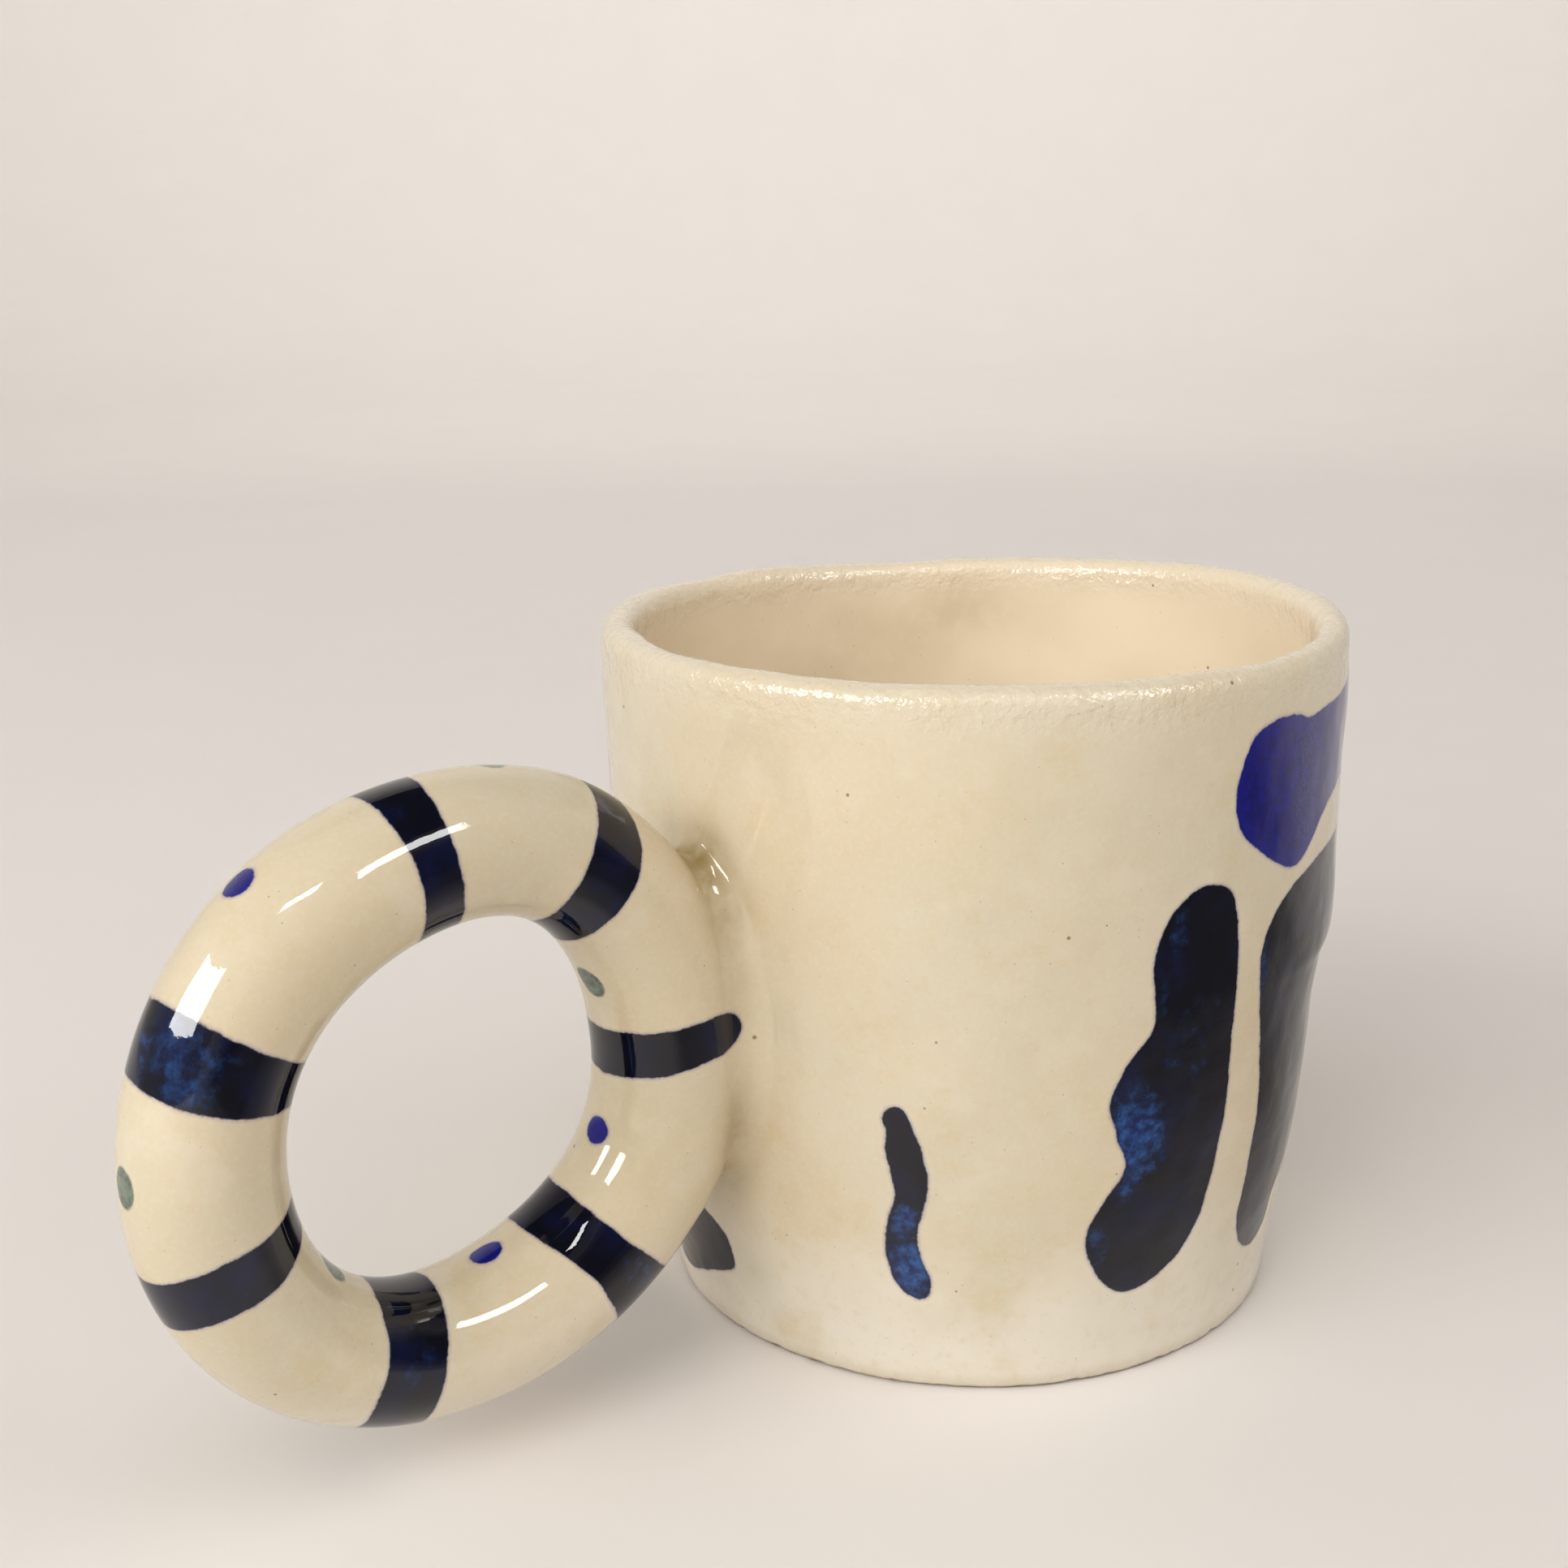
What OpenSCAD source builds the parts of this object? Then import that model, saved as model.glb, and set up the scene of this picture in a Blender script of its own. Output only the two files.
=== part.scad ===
// Hand-built stoneware mug with a ring handle.
// The foot stands on the XY plane with its centre at the origin, and the ring handle
// points along -X. All sizes are in millimetres.

/* [Cup] */
// Height from the foot to the top of the lip
cup_h = 85; // [70:1:110]
// Outer radius of the wall at the lip
rim_r = 46; // [42:0.5:52]
// Outer radius that the wall's curve reaches at the level of the foot
foot_r = 38.5; // [34:0.5:41]
// Thickness of the slab that the wall is rolled from
wall_t = 4.4; // [3.5:0.1:6]

/* [Floor] */
// Thickness of the round slab that the wall stands on
floor_t = 5; // [4:0.5:8]
// Rounding of the floor slab's lower edge
floor_edge_r = 1.3; // [0.5:0.1:2]
// Radius of the smoothed coil in the inside corner
corner_r = 6; // [4:0.5:10]

/* [Ring handle] */
// Radius of the ring, from its centre to the middle of its tube
ring_r = 28.3; // [26:0.1:31]
// Radius of the ring's tube
tube_r = 8.1; // [6:0.1:9]
// Depth of the ring that is cut away to seat it on the wall
seat_depth = 4.2; // [3:0.1:6]
// Height of the ring's centre
ring_z = 41.7; // [40:0.1:45]
// Lean of the ring's top towards -Y, in degrees
ring_lean = 2.4; // [0:0.1:4]

/* [Luting coils] */
// How far the clay worked into the joint spreads over the ring and the wall
luting_w = 1.8; // [1:0.1:3]

/* [Hidden] */
$fn = 180;

// The wall's section is an arc that is upright at the lip and leans in towards the foot
lip_z = cup_h - wall_t / 2;
flare = rim_r - foot_r;
bow_r = (lip_z * lip_z + flare * flare) / (2 * flare);
bow_x = rim_r - bow_r;
function arc_r(radius, z) = bow_x + sqrt(radius * radius - (lip_z - z) * (lip_z - z));
function wall_outer_r(z) = arc_r(bow_r, z);
function wall_inner_r(z) = arc_r(bow_r - wall_t, z);

floor_r = wall_outer_r(floor_t);
// The corner coil's face is struck a little large, so that it ends on a blunt edge
corner_z = floor_t + corner_r;
corner_x = arc_r(bow_r - wall_t - corner_r, corner_z);
corner_face_r = corner_r + 0.2;

ring_x = -(wall_outer_r(ring_z) - seat_depth + ring_r + tube_r);

// Section of everything within a distance of the wall's outer face, above one height
module cup_section(beyond, z_low) {
  intersection() {
    translate([bow_x, lip_z]) circle(r = bow_r + beyond, $fn = 720);
    translate([0, z_low]) square([rim_r + beyond + 1, lip_z - z_low]);
  }
}

// Solid cup with no hollow, grown by a distance
module cup_envelope(beyond = 0) {
  rotate_extrude() cup_section(beyond, 0);
}

module torus(tube) {
  translate([ring_x, 0, ring_z])
    rotate([90 + ring_lean, 0, 0])
      rotate_extrude() translate([ring_r, 0]) circle(r = tube);
}

// Flat round slab under the wall: its underside is the foot
module floor_slab() {
  color("#cdb48f")
    rotate_extrude() {
      square([floor_r - floor_edge_r, floor_t]);
      translate([0, floor_edge_r]) square([floor_r, floor_t - floor_edge_r]);
      translate([floor_r - floor_edge_r, floor_edge_r]) circle(r = floor_edge_r);
    }
}

// Rolled slab that stands on the floor slab, with a rounded lip
module wall() {
  color("#e6d3b5")
    rotate_extrude() {
      difference() {
        cup_section(0, floor_t);
        cup_section(-wall_t, floor_t - 1);
      }
      translate([rim_r - wall_t / 2, lip_z])
        intersection() {
          circle(d = wall_t);
          translate([-wall_t / 2, 0]) square([wall_t, wall_t / 2]);
        }
    }
}

// Coil pressed into the inside corner and smoothed to a hollow curve
module corner_coil() {
  color("#dcc49c")
    rotate_extrude()
      difference() {
        polygon([
          [corner_x, floor_t],
          [wall_inner_r(floor_t), floor_t],
          [wall_inner_r(corner_z), corner_z],
          [corner_x, corner_z]
        ]);
        translate([corner_x, corner_z]) circle(r = corner_face_r);
      }
}

// Round coil joined end to end, with one side cut to the curve of the wall
module ring_handle() {
  color("#d8c49f")
    difference() {
      torus(tube_r);
      cup_envelope();
    }
}

// Clay worked into the crease on one side of the ring: side is -1 for -Y and 1 for +Y
module luting_coil(side) {
  reach = ring_r + tube_r + luting_w;
  difference() {
    intersection() {
      torus(tube_r + luting_w);
      cup_envelope(luting_w);
      translate([ring_x, side > 0 ? 0 : -reach, ring_z - reach])
        cube([2 * reach, reach, 2 * reach]);
    }
    torus(tube_r);
    cup_envelope();
  }
}

module luting_coil_front() {
  color("#d9c296") luting_coil(-1);
}

module luting_coil_back() {
  color("#d9c296") luting_coil(1);
}

floor_slab();
wall();
corner_coil();
ring_handle();
luting_coil_front();
luting_coil_back();
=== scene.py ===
"""Looks for a hand-built stoneware mug with a ring handle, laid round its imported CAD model.

Shapes are worked out in millimetres from the boxes of the CAD nodes, and become metres when a
mesh is made. Azimuth is counted from +X towards +Y, and the ring handle points along -X.
"""
import math
import bpy
import numpy as np
from mathutils import Matrix, Vector


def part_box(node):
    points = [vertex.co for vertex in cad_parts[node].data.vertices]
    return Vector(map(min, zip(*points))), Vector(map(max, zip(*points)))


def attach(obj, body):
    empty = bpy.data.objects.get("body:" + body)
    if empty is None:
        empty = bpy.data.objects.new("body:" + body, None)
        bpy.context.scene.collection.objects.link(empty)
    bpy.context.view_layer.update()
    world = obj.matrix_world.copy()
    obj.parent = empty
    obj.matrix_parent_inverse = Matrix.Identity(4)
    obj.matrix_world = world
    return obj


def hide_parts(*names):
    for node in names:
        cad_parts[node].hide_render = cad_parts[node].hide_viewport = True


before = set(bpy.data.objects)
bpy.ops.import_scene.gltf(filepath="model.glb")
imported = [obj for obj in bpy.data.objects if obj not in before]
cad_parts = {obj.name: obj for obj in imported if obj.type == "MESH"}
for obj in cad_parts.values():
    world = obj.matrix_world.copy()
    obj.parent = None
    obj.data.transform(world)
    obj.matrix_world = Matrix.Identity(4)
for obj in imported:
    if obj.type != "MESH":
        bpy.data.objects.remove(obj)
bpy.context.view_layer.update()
scene = bpy.context.scene

MM = 0.001
AROUND = 480  # points round the cup
FAR = 6.0  # painted marks are known out to this many millimetres from their edge
SHARP = math.radians(48)  # edges that turn by more than this are shaded sharp


# ---- sizes taken from the frame

def box_mm(node):
    """Lowest and highest corner of a CAD node, in millimetres."""
    low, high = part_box(node)
    return np.array(low) / MM, np.array(high) / MM


_, wall_high = box_mm("wall")
_, floor_high = box_mm("floor_slab")
ring_low, ring_high = box_mm("ring_handle")

CUP_H = wall_high[2]
RIM_R = wall_high[0]
FLOOR_T = floor_high[2]
FLOOR_R = floor_high[0]
WALL_T = 4.4  # thickness of the wall's slab, as in the CAD
LIP_Z = CUP_H - WALL_T / 2
BOW_RISE = LIP_Z - FLOOR_T
BOW_LEAN = RIM_R - FLOOR_R
BOW_R = (BOW_RISE ** 2 + BOW_LEAN ** 2) / (2 * BOW_LEAN)  # the wall's side is one long arc
LIP_TURN = math.radians(45)  # the waves of the lip are counted from here
CORNER_R = 6.0  # hollow of the coil in the inside corner

TUBE_R = 8.1  # half the thickness of the ring's coil
RING_Z = (ring_low[2] + ring_high[2]) / 2
RING_UP = (ring_high[2] - ring_low[2]) / 2 - TUBE_R
RING_SIDE = (ring_high[1] - ring_low[1]) / 2 - TUBE_R
RING_R = math.hypot(RING_UP, RING_SIDE)
RING_LEAN = math.atan2(RING_SIDE, RING_UP)
RING_SET_HIGH = 0.6  # the ring was pressed on this much above the drawn height,
RING_SET_OUT = -0.2  # this far along X, which is away from the cup,
RING_CENTRE = np.array([ring_low[0] + RING_R + TUBE_R + RING_SET_OUT, 0.0, RING_Z + RING_SET_HIGH])
RING_SWING = math.radians(-1.9)  # and turned a little about its upright line
RING_OUT = np.array([math.cos(RING_SWING), math.sin(RING_SWING), 0.0])
RING_SIDEWAYS = np.array([-math.sin(RING_SWING), math.cos(RING_SWING), 0.0])
RING_UPRIGHT = np.array([0.0, 0.0, 1.0])
RING_MARKS = 0.18  # the ring's share of the unevenness that fingers left in the wall
RING_SEAT = 0.9  # how deep under the wall's face the ring's cut side is hidden
RING_TOP = RING_UPRIGHT * math.cos(RING_LEAN) - RING_SIDEWAYS * math.sin(RING_LEAN)
RING_FACE = -RING_SIDEWAYS * math.cos(RING_LEAN) - RING_UPRIGHT * math.sin(RING_LEAN)


# ---- small numeric helpers

def smooth(start, end, x):
    """0 before start, 1 after end, and an S-curve between them."""
    t = np.clip((np.asarray(x, float) - start) / (end - start), 0.0, 1.0)
    return t * t * (3.0 - 2.0 * t)


def turn_between(a, b):
    """Signed difference of two angles in radians, in -pi..pi."""
    return (a - b + np.pi) % (2 * np.pi) - np.pi


def ripple(points, wavelength, seed, waves=10):
    """A smooth random field of about -1..1: plane waves in random directions, added up."""
    rng = np.random.default_rng(seed)
    total = np.zeros(points.shape[:-1])
    for _ in range(waves):
        direction = rng.normal(size=3)
        direction /= np.linalg.norm(direction)
        number = 2 * np.pi / (wavelength * rng.uniform(0.7, 1.5))
        total += np.sin(points @ direction * number + rng.uniform(0, 2 * np.pi))
    return total / math.sqrt(waves)


def around(count):
    """Evenly spaced angles of a full turn."""
    return np.linspace(0, 2 * np.pi, count, endpoint=False)


def unit(v):
    """The vectors at length 1."""
    return v / np.linalg.norm(v, axis=-1, keepdims=True)


# ---- the cup's hand-made shape

# Places where a finger or the seam of the slab left its trace on the wall:
# azimuth, height, half-width round the wall in degrees, half-height, depth (+ is outwards)
PRESSES = [
    (305, 62, 26, 13, 0.30),
    (305, 39, 24, 6, -0.50),
    (188, 74, 10, 16, -0.35),
    (160, 30, 22, 12, 0.25),
    (250, 56, 20, 12, -0.18),
    (225, 24, 18, 10, 0.18),
    (60, 55, 25, 14, 0.30),
    (20, 28, 20, 10, -0.30),
    (100, 70, 18, 9, -0.25),
]


def lip_height(az):
    """Height of the lip, which waves a little on its way round."""
    turn = az + LIP_TURN
    return CUP_H + (
        0.07 * np.cos(turn) + 0.06 * np.sin(turn) + 0.11 * np.cos(2 * turn)
        + 0.29 * np.sin(2 * turn) + 0.20 * np.sin(3 * turn)
    )


def bow(z):
    """Radius of the wall's outer face where it is even: an arc, upright at the lip."""
    return RIM_R - BOW_R + np.sqrt(BOW_R ** 2 - (LIP_Z - z) ** 2)


def outer_radius(az, z):
    """Radius of the wall's outer face, out of round and pressed in places."""
    turn = az + LIP_TURN
    rim = -0.15 + 0.14 * np.sin(2 * turn) - 0.16 * np.cos(3 * turn) + 0.38 * np.sin(3 * turn)
    radius = bow(z) + rim * smooth(18, CUP_H, z)
    for press_az, press_z, half_az, half_z, depth in PRESSES:
        across = turn_between(az, math.radians(press_az)) / math.radians(half_az)
        along = (z - press_z) / half_z
        radius = radius + depth * np.exp(-across ** 2 - along ** 2)
    ledge = np.exp(-(turn_between(az, math.radians(308)) / math.radians(24)) ** 2)
    radius = radius + 0.45 * ledge * (smooth(45.2, 47.4, z) - smooth(47.4, 60, z))
    foot_roll = 0.12 * np.exp(-((z - 2.2) / 2.0) ** 2) - 0.08 * np.exp(-((z - 7.5) / 3.0) ** 2)
    return radius + foot_roll


def inner_radius(az, z):
    """Radius of the wall's inner face: the slab is a little thicker in some places."""
    thick = WALL_T + 0.25 * np.sin(2 * az + 1.0) + 0.2 * np.sin(3 * az + 0.04 * z)
    return outer_radius(az, z) - thick


def stretch(az, z):
    """Height of a point of the wall once the lip has its waves."""
    return z + (lip_height(az) - CUP_H) * smooth(40, CUP_H, z)


def polar(radius, az, z):
    """The point at a radius, azimuth and height, on a new last axis."""
    return np.stack([radius * np.cos(az), radius * np.sin(az), z + 0 * az], axis=-1)


def hand_marks(points, inside=0.0):
    """Height in millimetres of the soft unevenness that fingers leave in the clay."""
    broad = 0.16 * ripple(points, 34, 11) + 0.07 * ripple(points, 15, 12)
    fine = 0.022 * ripple(points, 6.5, 13) + 0.010 * ripple(points, 3.2, 14)
    return (1 + 0.8 * inside) * (broad + fine)


def wall_point(az, z):
    """A point of the wall's finished outer face."""
    base = polar(outer_radius(az, z), az, stretch(az, z))
    outwards = np.stack([np.cos(az), np.sin(az), 0 * az], axis=-1)
    return base + outwards * hand_marks(base)[..., None]


def wall_normal(az, z):
    """The outward normal of that face."""
    step_az, step_z = 0.004, 0.2
    along_az = wall_point(az + step_az, z) - wall_point(az - step_az, z)
    along_z = wall_point(az, z + step_z) - wall_point(az, z - step_z)
    return unit(np.cross(along_az, along_z))


# ---- the ring's hand-made shape

def ring_angles(points):
    """Angle round the ring (0 at the cup, 90 at the top) and round its tube (0 outside)."""
    v = points - RING_CENTRE
    out, up, face = v @ RING_OUT, v @ RING_TOP, v @ RING_FACE
    theta = np.arctan2(up, out)
    from_middle = np.hypot(out, up) - ring_reach(theta)
    return theta, np.arctan2(face, from_middle), np.hypot(from_middle, face)


def shoulder(theta):
    """1 where the coil dips towards the cup above the joint, 0 on the rest of the ring."""
    turned = turn_between(theta, 0.0)
    above = 1 - smooth(math.radians(36), math.radians(72), turned)
    return above * smooth(math.radians(-30), math.radians(12), turned)


def ring_reach(theta):
    """Radius of the ring's middle line, which is a little out of round."""
    waves = 0.26 * np.sin(2 * theta) + 0.12 * np.cos(3 * theta) - 0.20 * np.cos(4 * theta - 0.8)
    return RING_R + waves - 1.05 * shoulder(theta)


def tube_radius(theta, phi):
    """Radius of the ring's coil, which is a little thicker where it meets the cup."""
    even = TUBE_R + 0.22 + 0.46 * np.cos(theta) + 0.32 * np.cos(2 * theta) - 0.09 * np.sin(2 * theta)
    even = even + 0.16 * np.sin(3 * theta + 0.6) + 0.17 * np.sin(4 * theta + 0.3)
    even = even - 0.5 * shoulder(theta)
    return even + 0.05 * np.sin(2 * phi + 2 * theta) + 0.04 * np.sin(3 * phi - theta + 1.0)


def ring_middle(theta):
    """A point of the ring's middle line, and the way out from the ring's centre."""
    across = np.cos(theta)[..., None] * RING_OUT + np.sin(theta)[..., None] * RING_TOP
    return RING_CENTRE + ring_reach(theta)[..., None] * across, across


def ring_point(theta, phi):
    """A point of the ring's finished face."""
    middle, across = ring_middle(theta)
    outwards = np.cos(phi)[..., None] * across + np.sin(phi)[..., None] * RING_FACE
    even = middle + outwards * TUBE_R
    radius = tube_radius(theta, phi) + RING_MARKS * hand_marks(even)
    return middle + outwards * radius[..., None]


def ring_distance(points):
    """Distance of a point from the ring's finished face, negative inside it."""
    theta, phi, depth = ring_angles(points)
    middle, across = ring_middle(theta)
    outwards = np.cos(phi)[..., None] * across + np.sin(phi)[..., None] * RING_FACE
    radius = tube_radius(theta, phi) + RING_MARKS * hand_marks(middle + outwards * TUBE_R)
    return depth - radius


def ring_normal(points):
    """The outward normal of that face."""
    step = 0.05
    slopes = []
    for axis in np.eye(3):
        slopes.append(ring_distance(points + step * axis) - ring_distance(points - step * axis))
    return unit(np.stack(slopes, axis=-1))


# ---- painted marks

# Outlines of the brush marks on the wall, as azimuth in degrees and height in millimetres.
# Each closed line is drawn smoothly through its points.
NAVY_MARKS = {
    "tall_blob": [
        (260.5, 61.5), (264.5, 60), (266.5, 55.5), (267.3, 50), (267.7, 42), (267.8, 34),
        (266.8, 25.5), (264, 18.5), (259.5, 14.3), (253, 12), (248.8, 12.8), (245, 16.5),
        (243.7, 20.5), (245.8, 24.5), (249.2, 28.8), (247.3, 33.4), (246, 37.5), (248.5, 42),
        (252.3, 46), (251.6, 53), (253.3, 58), (257, 61),
    ],
    "leaning_stroke": [
        (304, 61), (297, 60.8), (290.5, 60.3), (284, 59.4), (278.5, 58), (274.5, 55.5),
        (272.6, 51.5), (273.2, 46.5), (275, 41), (276.2, 34), (276.5, 27), (276.3, 21),
        (275.5, 17), (277.5, 13.2), (281, 11), (285, 10.3), (289, 11.5), (291, 15.5),
        (296, 18), (302, 24), (307, 35), (311, 48), (312, 57), (308, 61),
    ],
    "squiggle": [
        (215.3, 37.3), (217.2, 34.8), (218.7, 31), (219.2, 27.5), (218.3, 24), (217.3, 21),
        (218.1, 18), (219.4, 15), (219.2, 13), (217.5, 12.3), (215, 13.2), (213, 15.5),
        (212.3, 19.5), (213, 23), (214.1, 26), (213.6, 29), (212.9, 31.5), (213.1, 34),
        (212.5, 35.7), (213.2, 37),
    ],
    "drop_by_ring": [
        (181, 10.5), (180, 13.8), (175, 15.8), (168, 17.5), (160, 17), (153, 13), (152, 8),
        (156, 4.5), (163, 4), (170, 5.7), (176, 7.6), (180, 8.9),
    ],
    "side_stroke": [
        (148.6, 61), (148.4, 67), (145.5, 70.5), (140, 73), (133, 73.5), (127, 69), (124, 60),
        (125, 50), (129, 44), (134, 43), (139, 46), (144, 51.5), (147.5, 56),
    ],
    "back_stroke": [
        (62, 64), (57, 61), (55, 52), (57, 43), (54, 33), (56, 22), (62, 17), (68, 20),
        (71, 29), (69, 38), (73, 47), (72, 57), (68, 63),
    ],
    "back_squiggle": [
        (27, 38), (24, 33), (26, 27), (24.5, 21), (27, 16), (31, 15), (33, 19), (31, 25),
        (33, 31), (31.5, 37),
    ],
}
COBALT_MARKS = {
    "round_blob": [
        (282, 77.4), (277.5, 78.3), (271.5, 78.5), (266.5, 76.8), (264.1, 71.5), (265.3, 67),
        (269.5, 64), (275, 61.4), (279, 60.5), (283, 61.8), (288, 64.8), (294, 66.5),
        (304, 68), (312, 70), (316, 75), (312, 80), (304, 79.5), (296, 78.1), (288, 77.8),
    ],
    "back_blob": [
        (92, 72), (86, 75), (79, 73), (76, 66), (79, 60), (86, 58), (93, 61), (97, 67),
    ],
    "low_blob": [
        (350, 30), (343, 33), (336, 30), (334, 23), (338, 17), (346, 15), (353, 19), (355, 25),
    ],
}
# Where the navy was laid on thinly and fired to a mottled steel blue:
# azimuth, height, half-width in millimetres, half-height, strength
THIN_WALL = [
    (250.0, 32.5, 4.2, 6.5, 0.95), (252.5, 32.5, 2.8, 4.0, 0.8), (250, 27.0, 2.4, 3.4, 0.65),
    (255.8, 56.5, 1.8, 6.0, 0.36), (253.5, 49, 1.4, 5.0, 0.34), (246, 18, 2.4, 4.5, 0.42),
    (259.0, 43, 5.0, 7.0, 0.34), (262, 30, 3.0, 6.0, 0.18),
    (273.5, 48, 1.4, 5.0, 0.6), (286, 13, 4.0, 3.0, 0.45),
    (216, 16.5, 3.0, 5.0, 1.0), (215.5, 23.0, 2.0, 2.5, 0.8), (166, 14, 5.0, 4.5, 0.45),
    (135, 62, 4.0, 9.0, 0.7), (60, 40, 3.5, 9.0, 0.8), (64, 24, 3.0, 4.0, 0.6),
    (28, 22, 2.5, 4.0, 0.9),
]

# Bands round the ring, in degrees round it: (start, end) on the outer rim, on the face
# towards -Y, and on the hole side
RING_BANDS = [
    ((95, 104), (95, 104.5), (93.5, 107)),
    ((56, 64.5), (51.5, 64), (50, 65.5)),
    ((299.5, 311), (298, 311), (293, 311)),
    ((245, 256), (241.5, 256.5), (237, 257.5)),
    ((193.5, 204), (191.5, 202.5), (188, 200)),
    ((148.5, 161.5), (148.5, 161.5), (148.5, 161)),
]
# The seventh band crosses the joint and ends on the wall. It is laid out on a line that faces
# the viewer of the decorated side: (place along the line, middle height, half-width)
JOINT_BAND = [(-44.5, 42.9, 2.9), (-37.0, 43.6, 2.75), (-31.7, 44.6, 2.5), (-28.5, 44.9, 2.1)]
JOINT_BAND_END = -28.6
JOINT_BAND_HEADING = math.radians(-39.8)

# Dots on the ring: degrees round it, degrees round its tube, half-length along the ring and
# half-width round the tube in millimetres, turn in degrees
COBALT_DOTS = [
    (127.3, 356, 1.85, 2.05, 20), (333.0, 179, 1.6, 1.7, 0), (278.5, 180, 1.95, 1.6, 0),
    (224, 318, 1.9, 1.7, 0), (171, 262, 1.8, 2.0, 0), (40, 285, 1.7, 1.9, 0),
]
GREEN_DOTS = [
    (80, 347, 1.7, 2.3, 0), (30.6, 172, 2.2, 1.8, 15), (178, 5, 2.2, 1.85, 0),
    (221, 168, 2.0, 1.9, 0), (117, 268, 1.9, 1.7, 0), (278, 290, 2.0, 1.7, 0),
    (326, 300, 1.7, 1.9, 0),
]
# Thin navy on the ring: degrees round it, degrees round its tube, half-length along the ring
# and half-width round the tube in millimetres, strength
THIN_RING = [
    (155, 30, 6.0, 8.0, 0.50), (307, 75, 3.0, 6.0, 0.42), (309, 30, 3.0, 5.0, 0.34),
    (246, 40, 4.0, 4.0, 0.36), (250, 110, 3.0, 6.0, 0.30), (194, 60, 5.0, 5.0, 0.25),
    (98, 20, 3.0, 4.0, 0.25), (154, 260, 6.0, 7.0, 0.6), (303, 250, 4.0, 8.0, 0.6),
]
# Glaze that pooled in the creases over and under the joint, under the ring's root and faintly
# inside the lip: place, half-size, strength
POOLS = [
    ((-48.0, -2.2, 65.4), (2.6, 3.0, 2.0), 1.0),
    ((-46.8, 2.6, 64.8), (2.8, 2.6, 2.2), 0.30),
    ((-46.8, -3.8, 63.6), (3.0, 3.0, 2.8), 0.85),
    ((-46.4, -5.8, 61.0), (3.0, 2.8, 3.4), 0.64),
    ((-45.8, -8.2, 57.4), (3.2, 2.6, 4.2), 0.36),
    ((-45.6, -10.0, 51.0), (3.0, 2.6, 6.0), 0.16),
    ((-45.0, 0.0, 26.0), (3.2, 6.0, 4.0), 0.75),
    ((-45.4, -8.4, 31.5), (3.0, 3.4, 6.0), 0.42),
    ((-57.0, -3.0, 34.0), (7.0, 8.0, 9.0), 0.18),
    ((27.9, 30.6, 77.5), (8.0, 8.0, 3.6), 0.20),
    ((20.0, 36.0, 74.0), (14.0, 12.0, 7.0), 0.12),
]


def smooth_outline(points, steps=7):
    """A closed Catmull-Rom line through the points."""
    p = np.array(points, float)
    before, after, beyond = np.roll(p, 1, 0), np.roll(p, -1, 0), np.roll(p, -2, 0)
    line = []
    for k in range(steps):
        t = k / steps
        line.append(0.5 * (
            2 * p + (after - before) * t
            + (2 * before - 5 * p + 4 * after - beyond) * t ** 2
            + (3 * p - before - 3 * after + beyond) * t ** 3
        ))
    return np.stack(line, axis=1).reshape(-1, 2)


def outline_distance(u, v, outline):
    """Distance of the points (u, v) from a closed outline, negative inside it."""
    nearest = np.full(u.shape, 1e9)
    inside = np.zeros(u.shape, bool)
    for (au, av), (bu, bv) in zip(outline, np.roll(outline, -1, 0)):
        du, dv = bu - au, bv - av
        t = np.clip(((u - au) * du + (v - av) * dv) / (du * du + dv * dv + 1e-12), 0, 1)
        nearest = np.minimum(nearest, (u - au - t * du) ** 2 + (v - av - t * dv) ** 2)
        crosses = (av > v) != (bv > v)
        inside ^= crosses & (u < au + (v - av) * du / (dv if abs(dv) > 1e-12 else 1e-12))
    return np.where(inside, -1.0, 1.0) * np.sqrt(nearest)


def marks_on_wall(points, marks):
    """Distance of each point of the wall from the nearest of these marks."""
    az = np.arctan2(points[:, 1], points[:, 0])
    z = points[:, 2]
    nearest = np.full(len(points), FAR)
    for outline in marks.values():
        line = smooth_outline(outline)
        middle = math.radians(line[:, 0].mean())
        line_u = (np.radians(line[:, 0]) - middle) * bow(line[:, 1])
        u = turn_between(az, middle) * bow(np.clip(z, 0, CUP_H))
        near = (
            (u > line_u.min() - FAR) & (u < line_u.max() + FAR)
            & (z > line[:, 1].min() - FAR) & (z < line[:, 1].max() + FAR)
        )
        found = outline_distance(u[near], z[near], np.stack([line_u, line[:, 1]], axis=1))
        nearest[near] = np.minimum(nearest[near], found)
    return nearest


def joint_band_distance(points):
    """Distance from the band that runs from the ring's hole side over the joint."""
    line = points[:, 0] * math.cos(JOINT_BAND_HEADING)
    line = line - np.abs(points[:, 1]) * math.sin(JOINT_BAND_HEADING)
    places, middles, halves = zip(*JOINT_BAND)
    middle = np.interp(line, places, middles)
    half = np.interp(line, places, halves)
    past_end = np.clip(line - (JOINT_BAND_END - half), 0, None)
    distance = np.hypot(past_end, points[:, 2] - middle) - half
    far = points[:, 0] < RING_CENTRE[0] + 10
    return np.where(far, FAR, distance)


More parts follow.
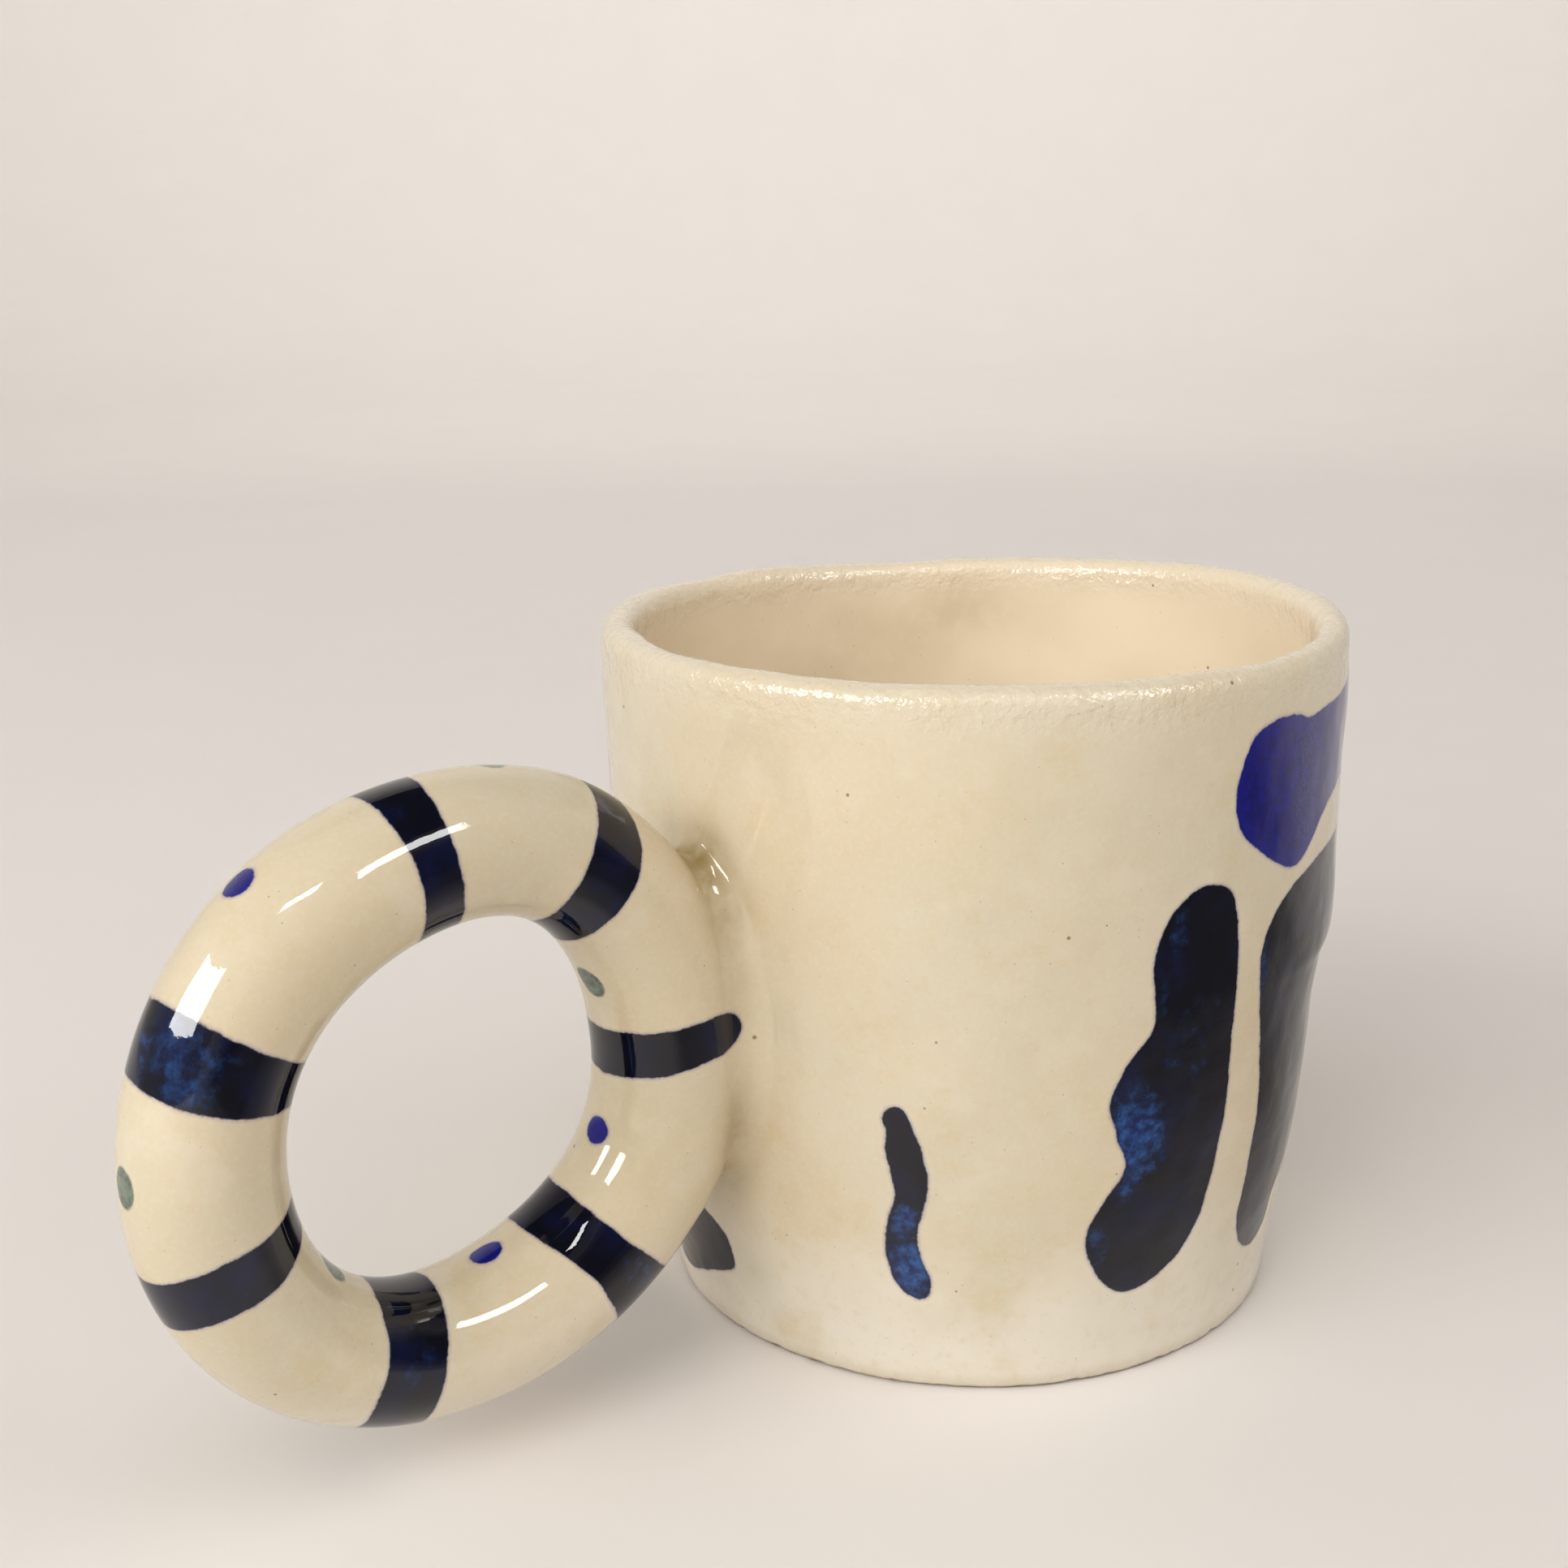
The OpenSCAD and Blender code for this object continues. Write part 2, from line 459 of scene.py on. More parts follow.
def bands_on_ring(points):
    """Distance of each point of the ring from the nearest painted band."""
    theta, phi, _ = ring_angles(points)
    reach = RING_R + TUBE_R * np.cos(phi)
    outer = np.clip(np.cos(phi), 0, 1) ** 2
    hole = np.clip(-np.cos(phi), 0, 1) ** 2
    nearest = joint_band_distance(points)
    for number, (at_outer, at_face, at_hole) in enumerate(RING_BANDS):
        edges = []
        for side in (0, 1):
            edge = at_face[side] + outer * (at_outer[side] - at_face[side])
            edge = edge + hole * (at_hole[side] - at_face[side])
            edge = edge + 0.55 * np.sin(2 * phi + 1.9 * number + 2.2 * side)
            edges.append(edge)
        middle = np.radians((edges[0] + edges[1]) / 2)
        half = np.radians(edges[1] - edges[0]) / 2
        distance = (np.abs(turn_between(theta, middle)) - half) * reach
        nearest = np.minimum(nearest, distance)
    return nearest


def dots_on_ring(points, dots):
    """Distance of each point from the nearest of these dots."""
    theta, phi, _ = ring_angles(points)
    nearest = np.full(len(points), FAR)
    for dot_theta, dot_phi, long, wide, turned in dots:
        reach = RING_R + TUBE_R * math.cos(math.radians(dot_phi))
        u = turn_between(theta, math.radians(dot_theta)) * reach
        v = turn_between(phi, math.radians(dot_phi)) * TUBE_R
        c, s = math.cos(math.radians(turned)), math.sin(math.radians(turned))
        size = np.hypot((u * c + v * s) / long, (v * c - u * s) / wide)
        nearest = np.minimum(nearest, (size - 1) * min(long, wide))
    return nearest


def thin_on_wall(points):
    """How thinly the navy lies on the wall, 0 to 1."""
    az = np.arctan2(points[:, 1], points[:, 0])
    thin = np.zeros(len(points))
    for at_az, at_z, wide, high, strength in THIN_WALL:
        u = turn_between(az, math.radians(at_az)) * bow(at_z) / wide
        v = (points[:, 2] - at_z) / high
        thin = np.maximum(thin, strength * np.exp(-u ** 2 - v ** 2))
    return thin


def thin_on_ring(points):
    """How thinly the navy lies on the ring, 0 to 1."""
    theta, phi, _ = ring_angles(points)
    thin = np.zeros(len(points))
    for at_theta, at_phi, long, wide, strength in THIN_RING:
        u = turn_between(theta, math.radians(at_theta)) * RING_R / long
        v = turn_between(phi, math.radians(at_phi)) * TUBE_R / wide
        thin = np.maximum(thin, strength * np.exp(-u ** 2 - v ** 2))
    return thin


def pooled(points):
    """How much glaze has gathered there, 0 to 1."""
    amount = np.zeros(len(points))
    for place, half, strength in POOLS:
        away = (points - np.array(place)) / np.array(half)
        amount = np.maximum(amount, strength * np.exp(-(away ** 2).sum(axis=1)))
    return amount


def stored(distance):
    """A distance as a shader reads it: 0 far outside the mark, 0.5 on its edge, 1 deep inside."""
    return 0.5 - np.clip(distance, -FAR, FAR) / (2 * FAR)


# ---- meshes

def build_mesh(name, points, faces, values, material):
    """A mesh object from millimetre points, with one float attribute for each named value."""
    mesh = bpy.data.meshes.new(name)
    mesh.from_pydata((points * MM).tolist(), [], faces)
    mesh.validate()
    for key, numbers in values.items():
        layer = mesh.attributes.new(key, "FLOAT", "POINT")
        layer.data.foreach_set("value", np.asarray(numbers, np.float32))
    mesh.materials.append(material)
    mesh.shade_smooth()
    mesh.set_sharp_from_angle(angle=SHARP)
    piece = bpy.data.objects.new(name, mesh)
    scene.collection.objects.link(piece)
    return piece


def grid_faces(rows, cols, wrap_rows):
    """Quads of a grid whose columns close on themselves."""
    last = rows if wrap_rows else rows - 1
    r, c = np.meshgrid(np.arange(last), np.arange(cols), indexing="ij")
    r2, c2 = (r + 1) % rows, (c + 1) % cols
    quads = np.stack([r * cols + c, r * cols + c2, r2 * cols + c2, r2 * cols + c], axis=-1)
    return quads.reshape(-1, 4).tolist()


def closed_grid(name, grid, values, material, wrap_rows, flip=False, hub=None):
    """A closed surface from rows of points.

    An open end gets a fan of faces round its middle point, or round its own point number hub
    where the section is hollow and its middle point would lie outside it.
    """
    rows, cols = grid.shape[:2]
    points = grid.reshape(-1, 3)
    faces = grid_faces(rows, cols, wrap_rows)
    values = {key: np.asarray(numbers).reshape(-1) for key, numbers in values.items()}
    if not wrap_rows:
        for row, order in ((0, -1), (rows - 1, 1)):
            centre = len(points) if hub is None else row * cols + hub
            for c in range(cols):
                a, b = row * cols + c, row * cols + (c + 1) % cols
                if centre not in (a, b):
                    faces.append([centre, a, b][::order])
            if hub is None:
                points = np.vstack([points, grid[row].mean(axis=0)])
                for key in values:
                    at_row = values[key][row * cols:(row + 1) * cols]
                    values[key] = np.append(values[key], at_row.mean())
    if flip:
        faces = [face[::-1] for face in faces]
    return build_mesh(name, points, faces, values, material)


def place(piece, node, slot):
    """Puts a finished piece in its CAD node's stead."""
    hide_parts(node)
    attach(piece, "root")
    return piece


def make_wall(material):
    """The slab wall: outer face, rounded lip and inner face in one skin."""
    az = around(AROUND)
    rows, tilts, rims = [], [], []
    for z in np.linspace(FLOOR_T, LIP_Z, 112):
        rows.append((outer_radius(az, z), stretch(az, z)))
        tilts.append(0.0)
        rims.append(float(smooth(LIP_Z - 5.5, LIP_Z, z)))
    half = (outer_radius(az, LIP_Z) - inner_radius(az, LIP_Z)) / 2
    middle = outer_radius(az, LIP_Z) - half
    for tilt in np.linspace(0, np.pi, 17)[1:-1]:
        # The powers make the lip a little squarer than a half circle
        squared = np.sign(np.cos(tilt)) * np.abs(np.cos(tilt)) ** 0.85
        high = stretch(az, LIP_Z) + WALL_T / 2 * math.sin(tilt) ** 0.92
        rows.append((middle + half * squared, high))
        tilts.append(tilt)
        rims.append(1.0)
    for z in np.linspace(LIP_Z, FLOOR_T, 70):
        rows.append((inner_radius(az, z), stretch(az, z)))
        tilts.append(np.pi)
        rims.append(float(smooth(LIP_Z - 4.0, LIP_Z, z)))
    base = np.stack([polar(radius, az, z) for radius, z in rows])
    tilts = np.array(tilts)[:, None]
    outwards = np.stack([
        np.cos(tilts) * np.cos(az), np.cos(tilts) * np.sin(az), np.sin(tilts) + 0 * az,
    ], axis=-1)
    inside = (1 - np.cos(tilts)) / 2 + 0 * az
    grid = base + outwards * hand_marks(base, inside)[..., None]
    points = grid.reshape(-1, 3)
    hidden = inside.reshape(-1) > 0.5
    band = joint_band_distance(points)
    navy = np.where(hidden, FAR, np.minimum(marks_on_wall(points, NAVY_MARKS), band))
    cobalt = np.where(hidden, FAR, marks_on_wall(points, COBALT_MARKS))
    values = {
        "navy": stored(navy),
        "cobalt": stored(cobalt),
        "green": np.zeros(len(points)),
        "thin": np.where(hidden, 0, thin_on_wall(points)),
        "pool": pooled(points),
        "rim": np.repeat(rims, AROUND),
        "inside": inside,
    }
    piece = closed_grid("wall_skin", grid, values, material, True)
    return place(piece, "wall", "wall_glaze")


def make_floor(material):
    """The base slab: bare foot, rolled edge that carries the wall's curve on, glazed top."""
    az = around(AROUND)
    edge = 1.0
    rows, sides = [], []
    for part in np.linspace(0.02, 1, 26):
        rows.append((part * (outer_radius(az, edge) - edge), 0 * az))
        sides.append(0.0)
    for angle in np.linspace(0, np.pi / 2, 9)[1:]:
        reach = outer_radius(az, edge) - edge + edge * math.sin(angle)
        rows.append((reach, edge - edge * math.cos(angle) + 0 * az))
        sides.append(float(smooth(0.0, 1.0, math.sin(angle))))
    for z in np.linspace(edge, FLOOR_T, 8)[1:]:
        rows.append((outer_radius(az, z), z + 0 * az))
        sides.append(1.0)
    for part in np.linspace(1, 0.02, 34)[1:]:
        rows.append((part * outer_radius(az, FLOOR_T), FLOOR_T + 0 * az))
        sides.append(0.0)
    base = np.stack([polar(radius, az, z) for radius, z in rows])
    lift = hand_marks(base)
    side = np.array(sides)[:, None]
    flare = np.hypot(base[..., 0], base[..., 1])[..., None]
    top = (base[..., 2] > FLOOR_T - 1e-6) & (flare[..., 0] < FLOOR_R - WALL_T)
    grid = base + base / flare * np.array([1, 1, 0]) * (side * lift)[..., None]
    grid[..., 2] += np.where(top, 0.7 * np.clip(lift, -0.3, 0.3), 0)
    # The edge of the foot is worn and uneven
    chew = 0.14 * ripple(base, 1.6, 31) + 0.10 * ripple(base, 5.0, 32)
    under = (1 - smooth(0.0, 1.6, base[..., 2])) * smooth(0.75, 0.98, flare[..., 0] / FLOOR_R)
    grid[..., 2] += np.clip(chew, 0, None) * under
    height = grid[..., 2].reshape(-1)
    points = grid.reshape(-1, 3)
    painted = np.repeat(side[:, 0] > 0, AROUND)  # a mark may cross the edge, but not the top
    underneath = ~painted & (height < edge)
    ragged = height + 0.16 * ripple(points, 1.6, 33)
    values = {
        "navy": stored(np.where(painted, marks_on_wall(points, NAVY_MARKS), FAR)),
        "cobalt": np.zeros(len(points)),
        "green": np.zeros(len(points)),
        "thin": thin_on_wall(points),
        "pool": 0.22 * (1 - smooth(0.3, 2.4, height)),
        "bare": np.where(underneath, 1.0, 1 - smooth(0.10, 0.55, ragged)),
        "inside": top.reshape(-1).astype(float),
    }
    piece = closed_grid("floor_slab_skin", grid, values, material, False, flip=True)
    return place(piece, "floor_slab", "floor_clay")


def make_corner(material):
    """The coil smoothed into the inside corner: a hollow fillet from the floor to the wall."""
    az = around(288)
    centre_z = FLOOR_T + CORNER_R
    centre_r = inner_radius(az, centre_z) - CORNER_R
    sink = 0.4
    rows = []
    for angle in np.linspace(0, np.pi / 2, 22):
        radius = centre_r + CORNER_R * math.sin(angle)
        rows.append((radius, centre_z - CORNER_R * math.cos(angle) + 0 * az))
    rows.append((inner_radius(az, centre_z) + sink, centre_z + 0 * az))
    rows.append((inner_radius(az, FLOOR_T) + sink, FLOOR_T - sink + 0 * az))
    rows.append((centre_r, FLOOR_T - sink + 0 * az))
    base = np.stack([polar(radius, az, z) for radius, z in rows])
    middle = polar(centre_r, az, centre_z)
    outwards = unit(middle[None] - base)
    grid = base + outwards * hand_marks(base, 1.0)[..., None]
    count = grid.shape[0] * grid.shape[1]
    values = {"inside": np.ones(count), "pool": np.full(count, 0.12)}
    piece = closed_grid("corner_coil_skin", grid, values, material, True, flip=True)
    return place(piece, "corner_coil", "inside_glaze")


def make_ring(material):
    """The ring: a round coil whose seat is hidden just under the wall's face."""
    theta, phi = np.meshgrid(around(520), around(128), indexing="ij")
    grid = ring_point(theta, phi)
    az = np.arctan2(grid[..., 1], grid[..., 0])
    flat = np.hypot(grid[..., 0], grid[..., 1])
    seat = outer_radius(az, grid[..., 2]) - RING_SEAT
    grow = np.where(flat < seat, seat / flat, 1.0)
    grid = grid * np.stack([grow, grow, np.ones_like(grow)], axis=-1)
    points = grid.reshape(-1, 3)
    values = {
        "navy": stored(bands_on_ring(points)),
        "cobalt": stored(dots_on_ring(points, COBALT_DOTS)),
        "green": stored(dots_on_ring(points, GREEN_DOTS)),
        "thin": thin_on_ring(points),
        "pool": pooled(points),
    }
    piece = closed_grid("ring_handle_skin", grid, values, material, True)
    return place(piece, "ring_handle", "ring_glaze")


def joint_sections(side, rows):
    """Sections of the clay worked into the crease on one side of the ring.

    Each section is the hollow face left by a ball that rolls between the wall and the ring,
    and it touches both of them, closed underneath inside the two.
    """
    middle_z, farthest = 45.0, 32.0
    psi = np.linspace(np.pi / 2, -np.pi / 2, rows)
    ball = 2.1 + 2.1 * np.cos(psi) ** 2  # fullest beside the ring, thinnest over and under it
    toward_y = side * np.cos(psi)

    def wall_at(reach):
        """Points of the wall this far from the middle of the joint, and their normals."""
        z = middle_z + reach * np.sin(psi)
        az = np.pi - reach * toward_y / bow(z)
        return wall_point(az, z), wall_normal(az, z)

    def meet(radius):
        """Where a ball of this radius on the wall just touches the ring."""
        near, far = np.zeros(rows), np.full(rows, farthest)
        for _ in range(40):
            reach = (near + far) / 2
            point, normal = wall_at(reach)
            clear = ring_distance(point + normal * np.reshape(radius, (-1, 1))) > radius
            far = np.where(clear, reach, far)
            near = np.where(clear, near, reach)
        return wall_at((near + far) / 2)

    on_wall, wall_n = meet(ball)
    crease, crease_n = meet(np.zeros(rows))
    centre = on_wall + wall_n * ball[:, None]
    ring_n = ring_normal(centre)
    start, end = -wall_n, -ring_n
    angle = np.arccos(np.clip((start * end).sum(axis=1), -1, 1))[:, None]
    face = []
    for t in np.linspace(0, 1, 22):
        spoke = (np.sin((1 - t) * angle) * start + np.sin(t * angle) * end) / np.sin(angle)
        face.append(centre + spoke * ball[:, None])
    under = 0.5
    ring_crease_n = ring_normal(crease)
    face.append(face[-1] - under * ring_n)
    face.append(crease - under * (crease_n + ring_crease_n))
    face.append(face[0] - under * wall_n)
    return np.stack(face, axis=1)


def make_luting(side, node, material):
    """One luting coil: side is -1 for the seen side of the ring and 1 for the hidden side."""
    sections = 150
    grid = joint_sections(side, sections)
    points = grid.reshape(-1, 3)
    values = {
        "navy": stored(joint_band_distance(points)),
        "thin": np.zeros(len(points)),
        "pool": pooled(points),
    }
    crease = grid.shape[1] - 2  # the point under the crease, from which the whole end can be seen
    piece = closed_grid(node + "_skin", grid, values, material, False, side > 0, hub=crease)
    return place(piece, node, "joint_glaze")


# ---- materials

def srgb(r, g, b):
    """A colour given as it looks on a screen, 0 to 255, as Blender's linear values."""
    linear = []
    for channel in (r, g, b):
        c = channel / 255
        linear.append(c / 12.92 if c <= 0.04045 else ((c + 0.055) / 1.055) ** 2.4)
    return (*linear, 1.0)


class Shader:
    """Short calls for building one material's nodes."""

    def __init__(self, name):
        """Starts an empty material."""
        self.material = bpy.data.materials.new(name)
        self.material.use_nodes = True
        self.tree = self.material.node_tree
        self.tree.nodes.clear()
        self.output = self.tree.nodes.new("ShaderNodeOutputMaterial")
        coordinates = self.tree.nodes.new("ShaderNodeTexCoord")
        self.where = coordinates.outputs["Object"]

    def feed(self, socket, value):
        """Links a socket to a node's output, or sets its constant."""
        if isinstance(value, bpy.types.NodeSocket):
            self.tree.links.new(value, socket)
        else:
            socket.default_value = value

    def math(self, operation, a, b=0.0, c=0.0):
        """One sum, product or comparison."""
        node = self.tree.nodes.new("ShaderNodeMath")
        node.operation = operation
        for socket, value in zip(node.inputs, (a, b, c)):
            self.feed(socket, value)
        return node.outputs[0]

    def ramp(self, value, start, end, low=0.0, high=1.0):
        """low where value is start, high where it is end, with an S-curve between."""
        node = self.tree.nodes.new("ShaderNodeMapRange")
        node.interpolation_type = "SMOOTHSTEP"
        for socket, number in zip(node.inputs, (value, start, end, low, high)):
            self.feed(socket, number)
        return node.outputs[0]

    def mix(self, amount, a, b):
        """Colour a where the amount is 0, colour b where it is 1."""
        node = self.tree.nodes.new("ShaderNodeMix")
        node.data_type = "RGBA"
        self.feed(node.inputs[0], amount)
        self.feed(node.inputs[6], a)
        self.feed(node.inputs[7], b)
        return node.outputs[2]

    def height_mm(self):
        """Height over the table."""
        node = self.tree.nodes.new("ShaderNodeSeparateXYZ")
        self.feed(node.inputs[0], self.where)
        return self.math("MULTIPLY", node.outputs[2], 1 / MM)

    def noise(self, size_mm, detail=2.0, roughness=0.5, distortion=0.0):
        """Noise with features of about this size, 0 to 1."""
        node = self.tree.nodes.new("ShaderNodeTexNoise")
        self.feed(node.inputs["Vector"], self.where)
        node.inputs["Scale"].default_value = 1 / (size_mm * MM)
        node.inputs["Detail"].default_value = detail
        node.inputs["Roughness"].default_value = roughness
        node.inputs["Distortion"].default_value = distortion
        return node.outputs["Fac"]

    def specks(self, spacing_mm, radius_mm, share):
        """1 on small round specks; only this share of the cells of the spacing has one."""
        node = self.tree.nodes.new("ShaderNodeTexVoronoi")
        self.feed(node.inputs["Vector"], self.where)
        node.inputs["Scale"].default_value = 1 / (spacing_mm * MM)
        split = self.tree.nodes.new("ShaderNodeSeparateColor")
        self.feed(split.inputs[0], node.outputs["Color"])
        chosen = self.math("LESS_THAN", split.outputs[0], share)
        size = self.math("MULTIPLY_ADD", split.outputs[1], 0.7, 0.5)
        reach = radius_mm / spacing_mm
        inside = self.ramp(self.math("DIVIDE", node.outputs["Distance"], size), reach, reach * 0.6)
        return self.math("MULTIPLY", inside, chosen)

    def attribute(self, name):
        """A value carried by the mesh, 0 if it has none of that name."""
        node = self.tree.nodes.new("ShaderNodeAttribute")
        node.attribute_name = name
        return node.outputs["Fac"]

    def distance(self, name, wobble):
        """Millimetres from a mark's edge, negative inside, with a brushed unevenness."""
        inwards = self.math("SUBTRACT", 0.5, self.attribute(name))
        return self.math("ADD", self.math("MULTIPLY", inwards, 2 * FAR), wobble)

    def bump(self, height, distance_mm, strength=1.0, under=None):
        """Fine relief, laid over the relief under it."""
        node = self.tree.nodes.new("ShaderNodeBump")
        self.feed(node.inputs["Strength"], strength)
        node.inputs["Distance"].default_value = distance_mm * MM
        self.feed(node.inputs["Height"], height)
        if under is not None:
            self.feed(node.inputs["Normal"], under)
        return node.outputs["Normal"]

    def surface(self, colour, roughness, normal=None, ior=1.5):
        """Ends the material: a colour under a clear, mirror-like skin."""
        node = self.tree.nodes.new("ShaderNodeBsdfPrincipled")
        self.feed(node.inputs["Base Color"], colour)
        self.feed(node.inputs["Roughness"], roughness)
        node.inputs["IOR"].default_value = ior
        if normal is not None:
            self.feed(node.inputs["Normal"], normal)
        self.tree.links.new(node.outputs[0], self.output.inputs["Surface"])
        return self.material


CREAM = srgb(213, 202, 178)
CREAM_RING = srgb(209, 197, 170)
CREAM_WARM = srgb(212, 197, 168)
CREAM_COOL = srgb(206, 197, 172)
CREAM_PALE = srgb(221, 212, 192)
CREAM_DRIFT = srgb(206, 186, 146)
# Painted bounce light: a paler, whiter cream for low on the wall, where the table throws light back
# up
CREAM_PAINTED_FLOOR_BOUNCE = srgb(229, 222, 208)
# Painted light: a paler copy of the cream for the inside of the cup, standing in for the light that
# fills it
CREAM_PAINTED_LIGHT_INSIDE = srgb(238, 222, 194)
RIM_WHITE = srgb(224, 214, 194)
POOL_OLIVE = srgb(134, 106, 20)
BARE_CLAY = srgb(168, 142, 108)
SPECK_BROWN = srgb(112, 80, 44)
NAVY_DEEP = srgb(12, 13, 22)
NAVY_BLUE = srgb(14, 20, 50)
STEEL_BLUE = srgb(42, 84, 146)
STEEL_DARK = srgb(17, 33, 80)
FRINGE_BLUE = srgb(38, 46, 150)
COBALT_DEEP = srgb(19, 17, 94)
COBALT_BRIGHT = srgb(24, 26, 124)
COBALT_DULL = srgb(23, 20, 82)
GREEN_GREY = srgb(92, 112, 96)
GREEN_DARK = srgb(42, 56, 50)
PAPER = srgb(231, 226, 221)
PAPER_PALE = srgb(234, 229, 224)
# colour of the painted dark reflections
ROOM_DARK = srgb(66, 60, 58)


def clay_colour(s, cream):
    """Cream glaze over stoneware, with soft drifts of colour and fine iron specks, and painted
    light: paler low down and on the inside.
    """
    colour = s.mix(s.ramp(s.noise(26, 3), 0.40, 0.66), cream, CREAM_WARM)
    # Painted bounce light from the table: the cream turns paler towards the bottom of the wall
    height = s.math("MULTIPLY_ADD", s.noise(14, 3), 16.0, s.height_mm())
    colour = s.mix(s.ramp(height, 34, 12, 0, 0.75), colour, CREAM_PAINTED_FLOOR_BOUNCE)
    colour = s.mix(s.ramp(s.noise(17, 2, distortion=0.4), 0.50, 0.74, 0, 0.5), colour, CREAM_COOL)
    colour = s.mix(s.ramp(s.noise(6.5, 3), 0.52, 0.76, 0, 0.45), colour, CREAM_PALE)
    colour = s.mix(s.ramp(s.noise(9.0, 4, 0.6), 0.52, 0.78, 0, 0.55), colour, CREAM_DRIFT)
    colour = s.mix(s.ramp(s.noise(1.7, 4, 0.65), 0.48, 0.78, 0, 0.34), colour, CREAM_DRIFT)
    colour = s.mix(s.ramp(s.noise(0.6, 2), 0.45, 0.70, 0, 0.20), colour, CREAM_PALE)
    # Painted light: the inside of the cup is made paler than the outside
    colour = s.mix(s.math("MULTIPLY", s.attribute("inside"), 0.88), colour, CREAM_PAINTED_LIGHT_INSIDE)
    colour = s.mix(s.math("MULTIPLY", s.attribute("rim"), 0.22), colour, RIM_WHITE)
    dust = s.math("MULTIPLY", s.specks(1.1, 0.10, 0.5), 0.42)
    colour = s.mix(dust, colour, SPECK_BROWN)
    spots = s.math("MULTIPLY", s.specks(3.4, 0.27, 0.28), 0.75)
    return s.mix(spots, colour, SPECK_BROWN)


def paint(s, colour):
    """Lays the navy, cobalt and green marks over the cream."""
    wobble = s.math("MULTIPLY_ADD", s.noise(2.4, 2), 0.5, -0.25)
    wobble = s.math("ADD", wobble, s.math("MULTIPLY_ADD", s.noise(0.4, 2), 0.22, -0.11))
    grain = s.noise(0.35, 2)
    patch = s.noise(1.3, 4, 0.62)
    cloud = s.noise(3.2, 4, 0.55)

    away = s.distance("green", wobble)
    shade = s.mix(s.ramp(patch, 0.40, 0.66), GREEN_GREY, GREEN_DARK)
    colour = s.mix(s.ramp(away, 0.20, -0.20, 0, 0.92), colour, shade)

    away = s.distance("cobalt", wobble)
    colour = s.mix(s.ramp(away, 0.55, 0.0, 0, 0.22), colour, FRINGE_BLUE)
    shade = s.mix(s.ramp(patch, 0.34, 0.72), COBALT_DEEP, COBALT_BRIGHT)
    shade = s.mix(s.ramp(cloud, 0.48, 0.72, 0, 0.40), shade, COBALT_DULL)
    shade = s.mix(s.ramp(away, -2.2, -0.3, 0, 0.55), shade, COBALT_BRIGHT)
    colour = s.mix(s.ramp(away, 0.14, -0.14), colour, shade)

    away = s.distance("navy", wobble)
    colour = s.mix(s.ramp(away, 0.5, 0.0, 0, 0.25), colour, FRINGE_BLUE)
    shade = s.mix(s.ramp(s.noise(6.0, 4, 0.6), 0.44, 0.70), NAVY_DEEP, NAVY_BLUE)
    thinness = s.math("ADD", s.attribute("thin"), s.math("MULTIPLY_ADD", cloud, 0.9, -0.45))
    thinness = s.math("ADD", thinness, s.math("MULTIPLY_ADD", patch, 0.36, -0.18))
    washed = s.mix(s.ramp(patch, 0.34, 0.70), STEEL_DARK, STEEL_BLUE)
    washed = s.mix(s.ramp(grain, 0.56, 0.72, 0, 0.45), washed, STEEL_DARK)
    shade = s.mix(s.ramp(thinness, 0.22, 0.92), shade, washed)
    shade = s.mix(s.ramp(away, -0.55, -0.05, 0, 0.5), shade, NAVY_BLUE)
    return s.mix(s.ramp(away, 0.14, -0.14), colour, shade)


def glaze(name, cream=CREAM, painted=True, peel=1.0):
    """Glossy clear glaze over painted stoneware."""
    s = Shader(name)
    colour = clay_colour(s, cream)
    pool = s.math("MULTIPLY", s.attribute("pool"), s.ramp(s.noise(2.0, 3), 0.25, 0.6, 0.6, 1.0))
    colour = s.mix(pool, colour, POOL_OLIVE)
    if painted:
        colour = paint(s, colour)
    bare = s.attribute("bare")
    colour = s.mix(bare, colour, s.mix(s.noise(0.8, 3), BARE_CLAY, SPECK_BROWN))
    roughness = s.ramp(s.noise(4.0, 3), 0.3, 0.7, 0.02, 0.05)
    roughness = s.math("MULTIPLY_ADD", bare, 0.7, roughness)
    rim = s.attribute("rim")
    waves = s.bump(s.noise(3.4, 1), 0.05 * peel)
    pits = s.bump(s.noise(0.9, 2, 0.6), 0.016 * peel, under=waves)
    rough_rim = s.bump(s.noise(1.3, 3, 0.6), 0.34, strength=rim, under=pits)
    foot = s.bump(s.noise(0.35, 3), 0.25, strength=bare, under=rough_rim)
    return s.surface(colour, roughness, foot)


def backdrop_material():
    """Matt, slightly uneven paper."""
    s = Shader("studio_paper")
    colour = s.mix(s.noise(60, 2), PAPER, PAPER_PALE)
    return s.surface(colour, 0.75, ior=1.35)


def dark_material():
    """Painted dark reflection of the room, fading to the paper's colour."""
    s = Shader("room_behind")
    colour = s.mix(s.attribute("pale"), ROOM_DARK, PAPER)
    return s.surface(colour, 1.0, ior=1.1)


# ---- studio

LAMP_WHITE = (1.0, 0.99, 0.975)
DARK_FROM, DARK_TO = 214, 352  # azimuths between which the dark cards reach


def direction(azimuth, elevation):
    """The unit vector towards an azimuth and elevation in degrees."""
    a, e = math.radians(azimuth), math.radians(elevation)
    return Vector((math.cos(a) * math.cos(e), math.sin(a) * math.cos(e), math.sin(e)))


def studio_mesh(name, points, faces, material):
    """A mesh object of the studio, not yet in the scene."""
    mesh = bpy.data.meshes.new(name)
    mesh.from_pydata(points, [], faces)
    mesh.materials.append(material)
    return bpy.data.objects.new(name, mesh)


def keep_to_reflections(card):
    """Lets only mirror-like reflections show a card."""
    card.visible_camera = False
    card.visible_diffuse = False
    card.visible_shadow = False


